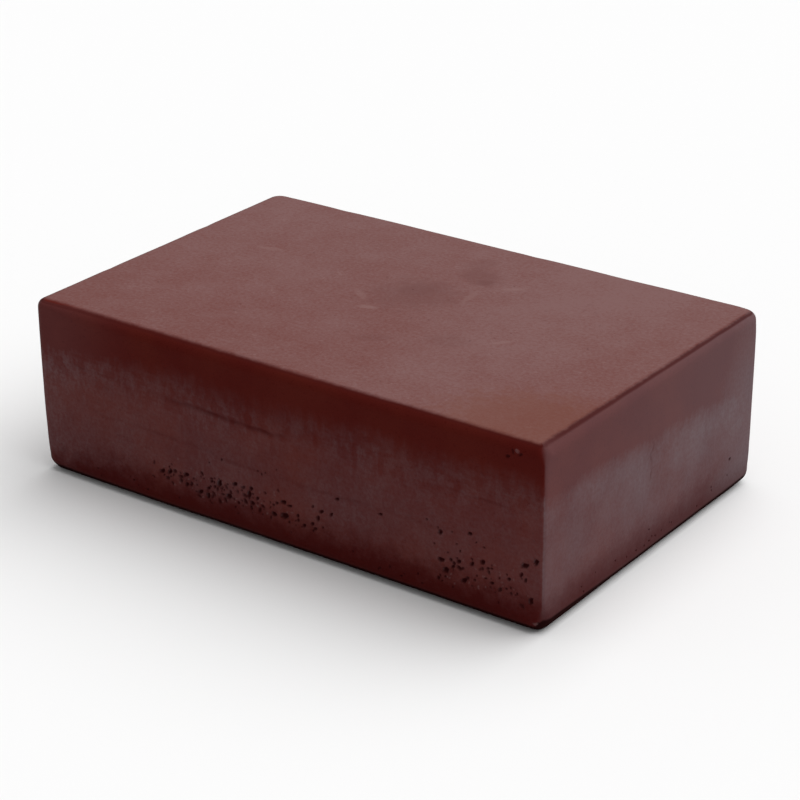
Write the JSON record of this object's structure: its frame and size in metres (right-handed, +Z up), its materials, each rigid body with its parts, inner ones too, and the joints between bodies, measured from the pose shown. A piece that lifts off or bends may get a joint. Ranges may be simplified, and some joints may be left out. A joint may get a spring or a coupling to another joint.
{
  "type": "detailing clay bar",
  "caption": "Rectangular cast block of dark red detailing clay with softened edges, rubbed over wet paintwork to lift bonded grit.",
  "frame": {"origin": "on the resting face, at the middle of the block's outline", "axes": "+X along the block's length, +Y across its width, +Z up through its thickness, from the resting face to the working face"},
  "size_m": [0.088, 0.057, 0.027],
  "materials": {
    "red_clay": "dense filled elastic compound: satin, dusty on the large faces, with a thin grey bloom on the sides"
  },
  "bodies": {
    "root": {"clay_bar": "red_clay"}
  },
  "joints": []
}
